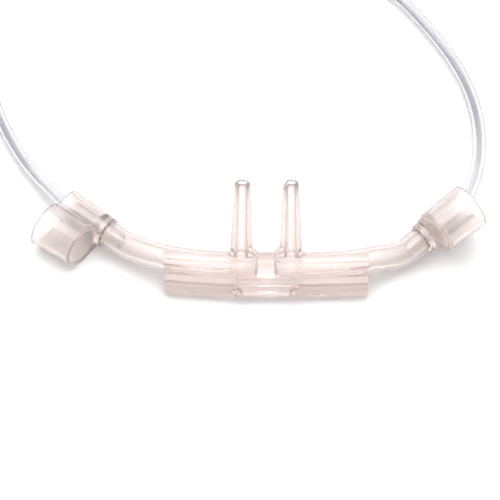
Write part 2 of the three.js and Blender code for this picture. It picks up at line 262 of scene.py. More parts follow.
def heap(shapes: Sequence[bmesh.types.BMesh]) -> bmesh.types.BMesh:
    """Puts several closed shapes in one bmesh, and frees them.

    Args:
        shapes: the closed shapes.

    Returns:
        All of them as one bmesh.
    """
    whole = bmesh.new()
    for shape in shapes:
        mesh = bpy.data.meshes.new("shape")
        shape.to_mesh(mesh)
        shape.free()
        whole.from_mesh(mesh)
        bpy.data.meshes.remove(mesh)
    return whole


def as_object(bm: bmesh.types.BMesh, name: str) -> bpy.types.Object:
    """Turns a shape into an object of the scene, and frees the bmesh.

    Args:
        bm: the shape.
        name: the object's name.

    Returns:
        The object.
    """
    mesh = bpy.data.meshes.new(name)
    bm.to_mesh(mesh)
    bm.free()
    made = bpy.data.objects.new(name, mesh)
    bpy.context.scene.collection.objects.link(made)
    return made


def settled(obj: bpy.types.Object) -> bpy.types.Object:
    """Applies an object's modifiers to its mesh.

    Args:
        obj: the object.

    Returns:
        The same object, with no modifier left.
    """
    graph = bpy.context.evaluated_depsgraph_get()
    mesh = bpy.data.meshes.new_from_object(obj.evaluated_get(graph))
    obj.modifiers.clear()
    old = obj.data
    obj.data = mesh
    bpy.data.meshes.remove(old)
    return obj


def moulded(shapes: Sequence[bmesh.types.BMesh], name: str, voxel: float, rounds: int) -> bpy.types.Object:
    """Fuses overlapping shapes into one skin with softly rounded edges, as a moulding has.

    Args:
        shapes: the closed shapes.
        name: the object's name.
        voxel: how fine the skin is, in mm.
        rounds: how often the skin is smoothed.

    Returns:
        The object, still in millimetres.
    """
    obj = as_object(heap(shapes), name)
    remesh = obj.modifiers.new("fuse", "REMESH")
    remesh.mode = "VOXEL"
    remesh.voxel_size = voxel
    smooth = obj.modifiers.new("soften", "SMOOTH")
    smooth.factor = 0.5
    smooth.iterations = rounds
    return settled(obj)


def bored(obj: bpy.types.Object, cutters: Sequence[bmesh.types.BMesh]) -> bpy.types.Object:
    """Cuts shapes out of an object, one after another.

    Args:
        obj: the object, in millimetres.
        cutters: the closed shapes to take away.

    Returns:
        The same object, cut.
    """
    for cutter in cutters:
        tool = as_object(cutter, "cutter")
        cut = obj.modifiers.new("bore", "BOOLEAN")
        cut.operation = "DIFFERENCE"
        cut.solver = "MANIFOLD"
        cut.object = tool
        settled(obj)
        bpy.data.meshes.remove(tool.data)
    return obj


def finished(
    obj: bpy.types.Object, finish: bpy.types.Material, sharp: float = 40.0
) -> None:
    """Brings a piece from the drawing into the part's own frame, shades and dresses it, and lets it ride.

    Args:
        obj: the piece, in millimetres.
        finish: its material.
        sharp: the angle from which an edge stays sharp, in degrees.
    """
    mesh = obj.data
    mesh.transform(TO_ROW)
    mesh.polygons.foreach_set("use_smooth", [True] * len(mesh.polygons))
    mesh.set_sharp_from_angle(angle=math.radians(sharp))
    mesh.materials.clear()
    mesh.materials.append(finish)
    mesh.polygons.foreach_set("material_index", [0] * len(mesh.polygons))
    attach(obj, BODY)
    LOG.info("%s: %d faces", obj.name, len(mesh.polygons))


# Finishes


@dataclass(frozen=True)
class Plastic:
    """A clear or tinted soft PVC that lets light through and tints it on its way.

    Attributes:
        name: the material's name.
        tint: the colour that white light turns to in depth of the plastic.
        density: how strongly it is tinted, for each metre.
        skin: the colour of what little the plastic scatters.
        clearness: how much of the light goes through, and isn't scattered.
        roughness: of the moulded skin.
        grain: the size of the skin's fine grain, in metres.
        relief: how deep that grain is, in metres.
        cloud_share: the scale of the plastic's faint clouds, as a share of the grain's.
        cloud_shade: how dark a cloud is beside the plain skin.
    """

    name: str
    tint: Point
    density: float
    skin: Point
    clearness: float
    roughness: float
    grain: float
    relief: float
    cloud_share: float = 0.12
    cloud_shade: float = 0.985

    def material(self) -> bpy.types.Material:
        """Builds the material with its skin's grain, its cloudiness and the tint in its depth."""
        made = bpy.data.materials.new(self.name)
        made.use_nodes = True
        nodes, links = made.node_tree.nodes, made.node_tree.links
        shader = nodes["Principled BSDF"]
        shader.inputs["Transmission Weight"].default_value = self.clearness
        shader.inputs["IOR"].default_value = 1.5
        place = nodes.new("ShaderNodeTexCoord")
        grain = nodes.new("ShaderNodeTexNoise")
        grain.inputs["Scale"].default_value = 1 / self.grain
        grain.inputs["Detail"].default_value = 3
        links.new(place.outputs["Object"], grain.inputs["Vector"])
        bump = nodes.new("ShaderNodeBump")
        bump.inputs["Strength"].default_value = 1.0
        bump.inputs["Distance"].default_value = self.relief
        links.new(grain.outputs["Fac"], bump.inputs["Height"])
        links.new(bump.outputs["Normal"], shader.inputs["Normal"])
        cloud = nodes.new("ShaderNodeTexNoise")
        cloud.inputs["Scale"].default_value = self.cloud_share / self.grain
        cloud.inputs["Detail"].default_value = 2
        links.new(place.outputs["Object"], cloud.inputs["Vector"])
        shades = nodes.new("ShaderNodeValToRGB")
        shades.color_ramp.elements[0].position = 0.3
        shades.color_ramp.elements[0].color = (*(c * self.cloud_shade for c in self.skin), 1)
        shades.color_ramp.elements[1].position = 0.7
        shades.color_ramp.elements[1].color = (*self.skin, 1)
        links.new(cloud.outputs["Fac"], shades.inputs["Fac"])
        links.new(shades.outputs["Color"], shader.inputs["Base Color"])
        gloss = nodes.new("ShaderNodeMapRange")
        gloss.inputs["From Min"].default_value = 0.3
        gloss.inputs["From Max"].default_value = 0.7
        gloss.inputs["To Min"].default_value = self.roughness * 0.8
        gloss.inputs["To Max"].default_value = self.roughness * 1.25
        links.new(cloud.outputs["Fac"], gloss.inputs["Value"])
        links.new(gloss.outputs["Result"], shader.inputs["Roughness"])
        depth = nodes.new("ShaderNodeVolumeAbsorption")
        depth.inputs["Color"].default_value = (*self.tint, 1)
        depth.inputs["Density"].default_value = self.density
        links.new(depth.outputs["Volume"], nodes["Material Output"].inputs["Volume"])
        return made


SOFT_PINK = Plastic(
    name="soft_pink_pvc", tint=(0.88, 0.54, 0.45), density=46.0, skin=(0.985, 0.94, 0.922), clearness=0.86,
    roughness=0.15, grain=0.0009, relief=0.000006,
)
CLEAR_TUBING = Plastic(
    name="clear_tubing_pvc", tint=(0.70, 0.71, 0.80), density=60.0, skin=(0.93, 0.93, 0.95), clearness=1.0,
    roughness=0.04, grain=0.0007, relief=0.000002,
)
CLEAR_MOULDING = Plastic(
    name="clear_moulded_pvc", tint=(0.70, 0.72, 0.80), density=60.0, skin=(0.93, 0.93, 0.95), clearness=0.96,
    roughness=0.08, grain=0.0009, relief=0.000004,
)
TIE_STRAP = Plastic(
    name="white_tie_strap", tint=(0.8, 0.8, 0.8), density=500.0, skin=(0.88, 0.88, 0.87), clearness=0.25,
    roughness=0.3, grain=0.0004, relief=0.00001,
)


@dataclass(frozen=True)
class FloorPaper:
    """The pale matt paper that the cannula lies on.

    Attributes:
        shade: how much light it sends back.
    """

    shade: float = 0.8

    def material(self) -> bpy.types.Material:
        """Builds the material, with a faint tooth in the paper."""
        made = bpy.data.materials.new("floor_paper")
        made.use_nodes = True
        nodes, links = made.node_tree.nodes, made.node_tree.links
        shader = nodes["Principled BSDF"]
        shader.inputs["Base Color"].default_value = (self.shade, self.shade, self.shade, 1)
        shader.inputs["Roughness"].default_value = 0.9
        shader.inputs["Specular IOR Level"].default_value = 0.1
        tooth = nodes.new("ShaderNodeTexNoise")
        tooth.inputs["Scale"].default_value = 900
        bump = nodes.new("ShaderNodeBump")
        bump.inputs["Distance"].default_value = 0.00001
        place = nodes.new("ShaderNodeTexCoord")
        links.new(place.outputs["Object"], tooth.inputs["Vector"])
        links.new(tooth.outputs["Fac"], bump.inputs["Height"])
        links.new(bump.outputs["Normal"], shader.inputs["Normal"])
        return made


# Studio


@dataclass
class Studio:
    """The floor, the light and the camera.

    Attributes:
        elevation: the camera's angle above the floor, in degrees.
        aim: the drawing's point in the middle of the picture.
        away: the camera's distance, in metres.
        picture_width: how much the picture spans at the aim, in metres.
        floor_size: the floor's side, in metres.
        horizon: the room's colour at the horizon.
        white_from: the height, as a share of straight up, from which the room is white.
    """

    elevation: float = 55.0
    aim: Point = (-4.16, 9.0, 8.0)
    away: float = 3.2
    picture_width: float = 0.13
    floor_size: float = 4.0
    horizon: Point = (0.30, 0.28, 0.30)
    white_from: float = 0.55

    def camera(self) -> None:
        """Sets up the camera at the photo's viewing angle."""
        lens = bpy.data.cameras.new("camera")
        lens.sensor_width = 36.0
        lens.lens = lens.sensor_width * self.away / self.picture_width
        lens.clip_end = 20.0
        made = bpy.data.objects.new("camera", lens)
        bpy.context.scene.collection.objects.link(made)
        rise = math.radians(self.elevation)
        back = Vector((0.0, -math.cos(rise), math.sin(rise)))
        made.location = TO_ROW @ Vector(self.aim) + back * self.away
        made.rotation_euler = (math.radians(90.0 - self.elevation), 0.0, 0.0)
        bpy.context.scene.camera = made

    def floor(self) -> None:
        """Lays the floor."""
        bm = bmesh.new()
        bmesh.ops.create_grid(bm, x_segments=1, y_segments=1, size=self.floor_size / 2)
        made = as_object(bm, "floor")
        made.data.materials.append(FloorPaper().material())

    def panel(self, name: str, at: Point, size: Flat, brightness: float) -> None:
        """Hangs a soft light panel that faces the cannula.

        Args:
            name: the light's name.
            at: its middle, in metres.
            size: its width and height, in metres.
            brightness: how bright its face looks.
        """
        light = bpy.data.lights.new(name, "AREA")
        light.shape = "RECTANGLE"
        light.size, light.size_y = size
        light.energy = brightness * math.pi * size[0] * size[1]
        made = bpy.data.objects.new(name, light)
        bpy.context.scene.collection.objects.link(made)
        made.location = at
        made.rotation_euler = (-Vector(at)).to_track_quat("-Z", "Y").to_euler()

    def room(self) -> None:
        """Lights the room round the set: white above, and a dim grey towards the horizon."""
        world = bpy.data.worlds.new("room")
        world.use_nodes = True
        nodes, links = world.node_tree.nodes, world.node_tree.links
        place = nodes.new("ShaderNodeTexCoord")
        split = nodes.new("ShaderNodeSeparateXYZ")
        links.new(place.outputs["Generated"], split.inputs["Vector"])
        rise = nodes.new("ShaderNodeValToRGB")
        rise.color_ramp.elements[0].position = 0.0
        rise.color_ramp.elements[0].color = (*self.horizon, 1)
        rise.color_ramp.elements[1].position = self.white_from
        rise.color_ramp.elements[1].color = (1.0, 1.0, 1.0, 1)
        links.new(split.outputs["Z"], rise.inputs["Fac"])
        links.new(rise.outputs["Color"], nodes["Background"].inputs["Color"])
        nodes["Background"].inputs["Strength"].default_value = 1.0
        bpy.context.scene.world = world

    def build(self) -> None:
        """Sets everything up."""
        self.camera()
        self.floor()
        self.panel("overhead_panel", (0.0, 0.1, 1.3), (1.6, 1.1), 3.0)
        self.panel("front_panel", (0.0, -1.2, 0.35), (1.0, 0.5), 3.0)
        self.room()
        view = bpy.context.scene.view_settings
        view.view_transform = "Standard"
        view.look = "None"


# Connectors


@dataclass
class Connector:
    """The moulded connector between an arm and its ear tube: a skirt of keyhole section round a hollow, with
    a sleeve for the ear tube, a collar that the arm butts on and a spigot inside the arm.

    Attributes:
        side: which arm it is on.
        at: the middle of the skirt's closed end.
        along: the way from the arm to the ear tube.
        grip: the way from the hub to the larger lobe.
    """

    side: Side
    at: Point
    along: Point
    grip: Point
    length: float = 12.2
    wall: float = 1.3
    taper: float = 0.06
    hub_radius: float = 4.6
    grip_radius: float = 6.3
    grip_at: Flat = (8.2, 1.4)
    waist_fillet: float = 1.6
    neck_length: float = 1.8
    neck_diameter: float = 8.2
    spigot_length: float = 5.0
    spigot_bore: float = 2.2
    sleeve_length: float = 9.6
    sleeve_wall: float = 0.6
    socket_floor: float = 2.4
    voxel: float = 0.2
    rounds: int = 4

    def frame(self) -> Matrix:
        """The connector's own frame in the drawing: Z along it, X towards the larger lobe."""
        z = Vector(self.along).normalized()
        y = z.cross(Vector(self.grip)).normalized()
        turn = Matrix((y.cross(z), y, z)).transposed().to_4x4()
        return Matrix.Translation(self.at) @ turn

    def keyhole(self, inset: float) -> list[Flat]:
        """Draws the keyhole outline: the hub's lobe, the larger lobe and the waist between them on one side.

        Args:
            inset: how far inside the outer face the outline lies.

        Returns:
            The outline's points, all the way round.
        """
        hub, lobe, fillet = self.hub_radius - inset, self.grip_radius - inset, self.waist_fillet + inset
        middle = Vector(self.grip_at)
        apart = middle.length
        e = middle / apart
        m = Vector((-e.y, e.x))
        lean = (hub - lobe) / apart
        flat_way = e * lean - m * math.sqrt(1 - lean * lean)
        a = ((hub + fillet) ** 2 - (lobe + fillet) ** 2 + apart**2) / (2 * apart)
        waist = e * a + m * math.sqrt((hub + fillet) ** 2 - a * a)
        flat = math.atan2(flat_way.y, flat_way.x)
        from_hub = math.atan2(waist.y, waist.x)
        from_lobe = math.atan2(waist.y - middle.y, waist.x - middle.x)

        def arc(centre: Vector, radius: float, start: float, end: float, steps: int) -> list[Flat]:
            """Points on an arc, its last one left out."""
            angles = [start + (end - start) * i / steps for i in range(steps)]
            return [(centre.x + radius * math.cos(t), centre.y + radius * math.sin(t)) for t in angles]

        full = 2 * math.pi
        lobe_end = flat + (from_lobe - flat) % full
        hub_end = from_hub + (flat - from_hub) % full
        waist_end = from_lobe + math.pi - (from_lobe - from_hub) % full
        return [
            *arc(middle, lobe, flat, lobe_end, 56),
            *arc(waist, fillet, from_lobe + math.pi, waist_end, 12),
            *arc(Vector((0.0, 0.0)), hub, from_hub, hub_end, 32),
        ]

    def skirt(self) -> list[bmesh.types.BMesh]:
        """The skirt's wall and its closed end."""
        tight = 1 - self.taper

        def station(z: float) -> Matrix:
            """The section's place and scale at a height."""
            scale = tight + self.taper * z / self.length
            return Matrix.Translation((0, 0, z)) @ Matrix.Diagonal((scale, scale, 1, 1))

        outer, inner = self.keyhole(0.0), self.keyhole(self.wall)
        wall = loft([outer, inner], [station(0.0), station(self.length)])
        plate = loft([outer], [station(0.0), station(self.wall)])
        return [wall, plate]

    def sleeve(self, tube_diameter: float, gap: float) -> list[bmesh.types.BMesh]:
        """The sleeve that holds the ear tube, and the collar.

        Args:
            tube_diameter: of the ear tube.
            gap: the clearance between pieces that touch.

        Returns:
            The two closed shapes.
        """
        socket = tube_diameter / 2 + gap
        sleeve = pin(socket + self.sleeve_wall, self.wall / 2, self.sleeve_length)
        collar = pin(self.neck_diameter / 2, -self.neck_length, self.wall / 2, 48)
        return [sleeve, collar]

    def build(self, arm_bore: float, tube_diameter: float, gap: float, finish: bpy.types.Material) -> None:
        """Makes the connector in place of its CAD node.

        Args:
            arm_bore: the diameter inside the arm.
            tube_diameter: of the ear tube.
            gap: the clearance between pieces that touch.
            finish: its material.
        """
        name = f"{self.side.word}_connector"
        socket = tube_diameter / 2 + gap
        start = -self.neck_length - self.spigot_length
        spigot = pin(arm_bore / 2 - gap, start, 0.0)
        shapes = [*self.skirt(), *self.sleeve(tube_diameter, gap), spigot]
        skin = moulded(shapes, f"{name}_moulding", self.voxel, self.rounds)
        gas_way = pin(self.spigot_bore / 2, start - 1, self.socket_floor + 1, 24)
        tube_way = pin(socket, self.socket_floor, self.sleeve_length + 1, 40)
        bored(skin, [gas_way, tube_way])
        skin.data.transform(self.frame())
        finished(skin, finish)
        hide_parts(name)


# Facepiece


@dataclass
class Facepiece:
    """The soft moulding that lies on the upper lip: a cross tube that runs out into the two arms, two hollow
    prongs, a ribbed pad on either side, and a recessed centre with two pockets, a strut and a bar.

    Attributes:
        left: the connector on the left arm.
        right: the connector on the right arm.
    """

    left: Connector
    right: Connector
    lean: float = math.radians(32)
    arm_diameter: float = 7.0
    arm_bore: float = 4.4
    middle: Point = (0.0, 4.1, 8.0)
    left_arm: tuple[Point, ...] = ((-28.0, 7.5, 7.5), (-19.0, 5.1, 8.0))
    right_arm: tuple[Point, ...] = ((19.0, 4.5, 8.0), (28.5, 6.6, 7.3))
    gap: float = 0.3
    prong_spacing: float = 13.0
    prong_height: float = 23.6
    tip_diameter: float = 4.1
    base_diameter: float = 5.8
    prong_bore: float = 2.5
    flare: float = 1.6
    flare_sunk: float = 0.7
    left_prong_lean: float = math.radians(1.0)
    saddle_bottom: float = 2.4
    saddle_half_depth: float = 2.2
    pad_inner: float = 7.6
    pad_outer: float = 26.6
    left_sweep: float = 1.6
    right_sweep: float = 0.6
    pad_top: float = 3.3
    pad_bottom: float = -8.3
    pad_front: float = -3.9
    pad_back: float = 2.4
    centre_front: float = -2.6
    recess_top: float = 1.6
    recess_bottom: float = -4.4
    pocket_width: float = 5.6
    pocket_height: float = 2.4
    pocket_depth: float = 1.2
    pocket_middle: float = -1.9
    strut_width: float = 3.1
    bar_front: float = -3.3
    knob_diameter: float = 2.8
    bar_rise: float = 0.7
    voxel: float = 0.23
    rounds: int = 2

    def face(self) -> Matrix:
        """The facepiece's own frame in the drawing: X across, Y back, Z along the prongs."""
        return Matrix.Translation(self.middle) @ Matrix.Rotation(-self.lean, 4, "X")

    def arm_end(self, connector: Connector) -> list[Vector]:
        """Finds where an arm's axis runs onto its connector.

        Args:
            connector: the arm's connector.

        Returns:
            Three points, from the arm's end inwards.
        """
        out = Vector(connector.along).normalized()
        steps = (self.gap, connector.spigot_length / 2, connector.spigot_length + 1)
        return [Vector(connector.at) - out * (connector.neck_length + d) for d in steps]

    def axis(self) -> list[Vector]:
        """The cross tube's axis, from the left arm's end to the right arm's."""
        points = [
            *self.arm_end(self.left), *self.left_arm, self.middle, *self.right_arm,
            *reversed(self.arm_end(self.right)),
        ]
        return smooth_path(points, 0.8)

    def pad(self, side: Side) -> bmesh.types.BMesh:
        """One lip pad, its front in soft horizontal ribs, running back in a gentle sweep.

        Args:
            side: which pad.

        Returns:
            The closed shape, in the drawing.
        """
        sweep = self.left_sweep if side is Side.LEFT else self.right_sweep
        front, back, top, low = self.pad_front, self.pad_back, self.pad_top, self.pad_bottom
        outline = [
            (back, low + 0.8), (back, top - 1.4), (back - 1.4, top), (front + 1.7, top),
            (front + 0.9, top - 0.5), (front + 0.6, top - 1.0), (front, top - 1.3), (front, top - 2.1),
            (front + 1.0, top - 2.5), (front + 1.1, top - 2.9), (front + 0.1, top - 3.3),
            (front + 0.1, top - 4.3), (front + 1.2, top - 4.7), (front + 1.3, top - 5.1),
            (front + 0.4, top - 5.5), (front + 0.55, top - 7.1), (front + 1.7, top - 7.5),
            (front + 1.7, top - 7.9), (front + 0.8, top - 8.3), (front + 1.0, low + 0.9),
            (front + 1.9, low), (back - 0.8, low),
        ]
        frames = []
        stations = 12
        axes = Matrix(((0, 0, 1, 0), (1, 0, 0, 0), (0, 1, 0, 0), (0, 0, 0, 1)))
        for i in range(stations + 1):
            x = side.value * (self.pad_inner + (self.pad_outer - self.pad_inner) * i / stations)
            swept = sweep * (x / self.pad_outer) ** 2
            at = (x, swept * math.cos(self.lean), swept * math.sin(self.lean))
            frames.append(self.face() @ Matrix.Translation(at) @ axes)
        return loft([outline], frames)

    def centre(self) -> list[bmesh.types.BMesh]:
        """The centre between the pads: its floor, the pockets' ledges, the strut, the bar and the knobs."""
        reach = self.pad_inner + 0.6
        low = self.pad_bottom + self.bar_rise
        floor_front = self.centre_front + self.pocket_depth
        pocket_top = self.pocket_middle + self.pocket_height / 2
        pocket_low = self.pocket_middle - self.pocket_height / 2
        half = self.strut_width / 2
        top = self.pad_top - 0.6
        shapes = [
            block((-reach, floor_front, low), (reach, self.pad_back, top), 0.3),
            block((-reach, self.centre_front, self.recess_top), (reach, 0.0, top), 0.3),
            block((-reach, self.centre_front, pocket_top), (reach, 0.0, self.recess_top + 0.3), 0.1),
            block((-reach, self.centre_front, self.recess_bottom - 0.3), (reach, 0.0, pocket_low), 0.1),
            block((-half, self.centre_front, pocket_low - 0.3), (half, 0.0, pocket_top + 0.3), 0.1),
            block((-reach, self.bar_front, low), (reach, 0.0, self.recess_bottom), 0.45),
        ]
        radius = self.knob_diameter / 2
        knob_stations = ((self.pad_back - 0.2, 1.0), (self.pad_front + 0.4, 1.0), (self.pad_front, 0.7))
        for side in Side:
            knob = loft([ring(radius, 32)], [
                Matrix.Translation((side.value * self.pad_inner, y, low + radius))
                @ Matrix.Rotation(math.radians(90), 4, "X")
                @ Matrix.Diagonal((scale, scale, 1, 1))
                for y, scale in knob_stations
            ])
            shapes.append(knob)
        return [placed(s, self.face()) for s in shapes]

    def prong(self, side: Side) -> bmesh.types.BMesh:
        """A tapered prong with its flared foot and rounded tip. The right one's tip slants on its left.

        Args:
            side: which prong.

        Returns:
            The closed shape, in the drawing.
        """
        tip, base = self.tip_diameter / 2, self.base_diameter / 2
        root = self.arm_diameter / 2 - self.flare_sunk
        high = self.prong_height
        profile = [(0.0, 0.0), (base + self.flare, 0.0)]
        for i in range(9):
            a = math.pi / 2 * i / 8
            profile.append((base + self.flare * (1 - math.sin(a)), root + self.flare * (1 - math.cos(a))))
        profile += [(tip + 0.12, high - 2.2), (tip, high - 0.7), (tip - 0.2, high - 0.2), (tip - 0.5, high)]
        profile.append((0.0, high))
        bm = turned(profile, 64)
        if side is Side.RIGHT:
            cut = bmesh.ops.bisect_plane(
                bm, geom=[*bm.verts, *bm.edges, *bm.faces], plane_co=(-0.75, 0, high),
                plane_no=Vector((-0.78, -0.1, 0.62)), clear_outer=True,
            )
            rim = [g for g in cut["geom_cut"] if isinstance(g, bmesh.types.BMEdge)]
            bmesh.ops.edgeloop_fill(bm, edges=rim)
            bmesh.ops.recalc_face_normals(bm, faces=bm.faces)
        return placed(bm, self.prong_place(side))

    def prong_place(self, side: Side) -> Matrix:
        """Where a prong stands. The left one leans a little towards the middle."""
        lean_in = self.left_prong_lean if side is Side.LEFT else 0.0
        at = Matrix.Translation((side.value * self.prong_spacing / 2, 0, 0))
        return self.face() @ at @ Matrix.Rotation(lean_in, 4, "Y")

    def saddle(self) -> bmesh.types.BMesh:
        """The web between the prongs, with its round valley."""
        radius = (self.prong_spacing - self.base_diameter) / 2
        half = self.prong_spacing / 2
        steps = 24
        outline = [(-half, 0.0), (half, 0.0), (half, self.saddle_bottom + radius - 0.3)]
        for i in range(steps + 1):
            a = math.pi * i / steps
            outline.append((radius * math.cos(a), self.saddle_bottom + radius * (1 - math.sin(a))))
        outline.append((-half, self.saddle_bottom + radius - 0.3))
        upright = Matrix.Rotation(math.radians(90), 4, "X")
        depth = self.saddle_half_depth
        frames = [self.face() @ Matrix.Translation((0, y, 0)) @ upright for y in (depth, -depth)]
        return loft([outline], frames)

    def tongue(self, side: Side) -> bmesh.types.BMesh:
        """The low oval boss that the arm runs out of, beside the pad's end.

        Args:
            side: which arm.

        Returns:
            The closed shape, in the drawing.
        """
        bm = bmesh.new()
        bmesh.ops.create_uvsphere(bm, u_segments=32, v_segments=20, radius=1.0)
        axis = self.axis()
        reach = self.pad_outer + 0.4
        near = min(axis, key=lambda p: abs(p.x - side.value * reach))
        far = min(axis, key=lambda p: abs(p.x - side.value * (reach + 3.0)))
        along = (far - near).normalized()
        to_eye = self.face().to_3x3() @ Vector((0, -1, -0.35))
        front = (to_eye - along * to_eye.dot(along)).normalized()
        turn = Matrix((along, front, along.cross(front))).transposed().to_4x4()
        size = Matrix.Diagonal((5.2, 3.2, 2.9, 1))
        return placed(bm, Matrix.Translation(near + front * 0.75) @ turn @ size)

    def bores(self) -> list[bmesh.types.BMesh]:
        """The bore in each arm, up to the wall between the prongs, and the bore in each prong."""
        cutters = []
        axis = self.axis()
        wall = self.strut_width / 2
        for side in Side:
            run = [p for p in axis if p.x * side.value > wall + 1.2]
            ends = run[::-1] if side is Side.RIGHT else run
            outward = (ends[0] - ends[1]).normalized()
            path = [ends[0] + outward, *ends]
            frames = frames_along(path)
            inward = (ends[-1] - ends[-2]).normalized()
            for step, scale in ((0.5, 0.93), (0.9, 0.76), (1.15, 0.45)):
                last = frames_along([ends[-1] + inward * step, ends[-1] + inward * (step + 1)])[0]
                last = Matrix.Translation(last.translation) @ frames[-1].to_3x3().normalized().to_4x4()
                frames.append(last @ Matrix.Diagonal((scale, scale, 1, 1)))
            cutters.append(loft([ring(self.arm_bore / 2, 40)], frames))
        for side in Side:
            bore = self.prong_bore / 2
            high = self.prong_height
            profile = [
                (0.0, 0.0), (bore + 0.35, 0.0), (bore + 0.1, 3.0), (bore, 6.0), (bore - 0.05, high - 0.6),
                (bore + 0.25, high + 0.05), (bore + 0.6, high + 1.0), (0.0, high + 1.0),
            ]
            cutter = turned(profile, 40)
            cutters.append(placed(cutter, self.prong_place(side)))
        return cutters

    def build(self, finish: bpy.types.Material) -> None:
        """Makes the facepiece in place of its CAD node.

        Args:
            finish: its material.
        """
        tube = loft([ring(self.arm_diameter / 2, 48)], frames_along(self.axis()))
        shapes = [tube, self.saddle(), *self.centre()]
        for side in Side:
            shapes += [self.pad(side), self.prong(side), self.tongue(side)]
        skin = moulded(shapes, "facepiece_moulding", self.voxel, self.rounds)
        bored(skin, self.bores())
        finished(skin, finish)
        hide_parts("facepiece")


# Ear tubes


@dataclass
class Coil:
    """Three turns of ear tube: two side by side on the floor, and one in the groove on top of them.

    Attributes:
        centre: the coil's middle, on the floor.
        radius: of the top turn's centreline.
        start: the angle where the tube comes in and goes out, in degrees.
        way: 1 for turns that run counter-clockwise, seen from above, and -1 for clockwise.
    """

    centre: Flat
    radius: float
    start: float
    way: int
    lift: float = 0.05
    tie_at: float = 180.0

    def spot(self, angle: float, diameter: float) -> Vector:
        """Where the tube's axis is after so many degrees of winding.

        Args:
            angle: degrees from the start.
            diameter: the tube's.

        Returns:
            The point, in the drawing.
        """

        def ease(low: float, high: float) -> float:
            """A soft step from 0 to 1 between two angles."""
            t = min(max((angle - low) / (high - low), 0.0), 1.0)
            return t * t * (3 - 2 * t)

        half = diameter / 2
        inward, climb = ease(290.0, 350.0), ease(738.0, 800.0)
        radius = self.radius + half * (1 - inward) - half * inward * (1 - climb)
        near_tie = math.remainder(angle - self.tie_at, 360.0) / 25.0
        height = half + self.lift + climb * half * math.sqrt(3) + 0.4 * math.exp(-near_tie**2)
        a = math.radians(self.start + self.way * angle)
        return Vector((self.centre[0] + radius * math.cos(a), self.centre[1] + radius * math.sin(a), height))

    def turns(self, diameter: float) -> list[Vector]:
        """The axis of the three turns, a point every 10 degrees."""
        return [self.spot(10.0 * i, diameter) for i in range(1, 108)]


@dataclass
class EarTube:
    """A clear ear tube: from its connector's sleeve over the floor and through its coil to the Y-piece.

    Attributes:
        connector: what it starts in.
        route: its points from the sleeve to the coil.
        coil: the coil.
        tail: its points from the coil to the Y-piece.
        socket: its points in the Y-piece.
    """

    connector: Connector
    route: tuple[Point, ...]
    coil: Coil
    tail: tuple[Point, ...]
    socket: tuple[Point, ...]
    diameter: float = 3.4
    bore: float = 1.9
    gap: float = 0.3
    length: float = 0.50
    tie_width: float = 3.2
    tie_thickness: float = 0.32
    tie_slack: float = 0.08

    def seated(self) -> list[Vector]:
        """Its axis inside the connector's sleeve."""
        out = Vector(self.connector.along).normalized()
        start = self.connector.socket_floor + self.gap
        end = self.connector.sleeve_length
        return [Vector(self.connector.at) + out * d for d in (start, (start + end) / 2, end)]

    def path(self) -> list[Vector]:
        """Its whole axis, in the drawing."""
        points = [*self.seated(), *self.route, *self.coil.turns(self.diameter), *self.tail, *self.socket]
        return smooth_path(points, 1.1)

    def tie(self, finish: bpy.types.Material) -> bpy.types.Object:
        """The narrow strap that holds the coil's turns together.

        Args:
            finish: its material.

        Returns:
            The strap.
        """
        angle = self.coil.tie_at
        d = self.diameter
        turns = [self.coil.spot(angle + 360 * k, d) for k in range(3)]
        a = math.radians(self.coil.start + self.coil.way * angle)
        out = Vector((math.cos(a), math.sin(a), 0.0))
        along = Vector((-math.sin(a), math.cos(a), 0.0))
        centres = [Vector(((p - turns[0]).dot(out), p.z - turns[0].z)) for p in turns]
        around = [(c.x + x, c.y + y) for c in centres for x, y in ring(d / 2 + self.tie_slack, 36)]
        loop = outer_hull(around)
        outer = grown(loop, self.tie_thickness)
        turn = Matrix((out, Vector((0, 0, 1)), -along)).transposed().to_4x4()
        half = self.tie_width / 2
        frames = [Matrix.Translation(turns[0] + along * s) @ turn for s in (-half, half)]
        strap = as_object(loft([outer, loop], frames), f"{self.connector.side.word}_coil_tie")
        finished(strap, finish, 30.0)
        return strap

    def build(
        self, finish: bpy.types.Material, tie_finish: bpy.types.Material, far: bpy.types.Object
    ) -> None:
        """Makes the ear tube and its tie in place of the tube's CAD nodes.

        Args:
            finish: the tube's material.
            tie_finish: the tie's.
            far: the Y-piece that it ends in. It is not used.
        """
        node = f"{self.connector.side.word}_ear_tube"
        path = self.path()
        walls = [ring(self.diameter / 2, 24), ring(self.bore / 2, 20)]
        tube = as_object(loft(walls, frames_along(path)), f"{node}_line")
        finished(tube, finish, 60.0)
        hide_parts(node, f"{node}_coil", f"{node}_tail")
        tie = self.tie(tie_finish)


def outer_hull(points: list[Flat]) -> list[Flat]:
    """Finds the convex outline round flat points.

    Args:
        points: the points.

    Returns:
        The outline's points, counter-clockwise.
    """
    ordered = sorted(set(points))

    def half(run: list[Flat]) -> list[Flat]:
        """One side of the outline, its last point left out."""
        kept: list[Flat] = []
        for p in run:
            while len(kept) > 1 and (
                (kept[-1][0] - kept[-2][0]) * (p[1] - kept[-2][1])
                - (kept[-1][1] - kept[-2][1]) * (p[0] - kept[-2][0])
            ) <= 1e-9:
                kept.pop()
            kept.append(p)
        return kept[:-1]

    return half(ordered) + half(ordered[::-1])


def grown(outline: list[Flat], by: float) -> list[Flat]:
    """Moves a counter-clockwise convex outline outwards, point by point.

    Args:
        outline: its points.
        by: how far.

    Returns:
        The moved points.
    """
    moved = []
    n = len(outline)
    for i, (x, y) in enumerate(outline):
        before, after = outline[i - 1], outline[(i + 1) % n]
        way = Vector((after[1] - before[1], before[0] - after[0])).normalized()
        moved.append((x + way.x * by, y + way.y * by))
    return moved


# Y-piece


